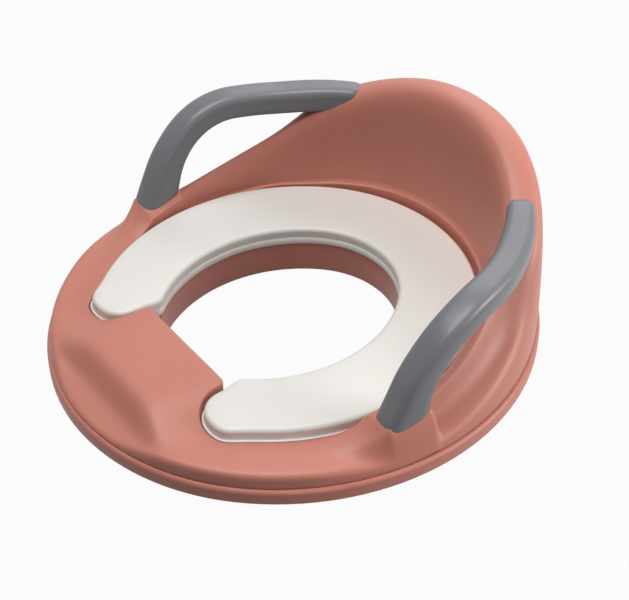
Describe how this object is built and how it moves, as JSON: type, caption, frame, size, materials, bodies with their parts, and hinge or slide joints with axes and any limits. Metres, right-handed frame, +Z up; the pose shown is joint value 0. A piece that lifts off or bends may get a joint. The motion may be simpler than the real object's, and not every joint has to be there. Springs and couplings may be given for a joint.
{
  "type": "potty training seat",
  "caption": "Padded training seat for a toilet: moulded shell with a high scooped back, splash guard, soft horseshoe cushion and arched side grips.",
  "frame": {"origin": "on the lowest plane, the collar's lower edge, under the middle of the rim's oval", "axes": "+Z up, +Y towards the high back, +X to the sitter's left"},
  "size_m": [0.33, 0.35, 0.1353],
  "materials": {
    "coral_polypropylene": "coral polypropylene with a fine satin moulded surface",
    "cushion_foam": "off-white integral-skin polyurethane foam, smooth and faintly glossy",
    "grip_grey": "grey soft-touch plastic, satin",
    "pad_rubber": "grey thermoplastic rubber, matt",
    "screw_steel": "zinc-plated steel"
  },
  "bodies": {
    "root": {"shell": "coral_polypropylene", "base_pan": "coral_polypropylene", "cushion": "cushion_foam", "grip_left": "grip_grey", "grip_right": "grip_grey", "pad_1": "pad_rubber", "pad_2": "pad_rubber", "pad_3": "pad_rubber", "pad_4": "pad_rubber", "screw_1": "screw_steel", "screw_2": "screw_steel", "screw_3": "screw_steel", "screw_4": "screw_steel", "screw_5": "screw_steel", "screw_6": "screw_steel"}
  },
  "joints": []
}
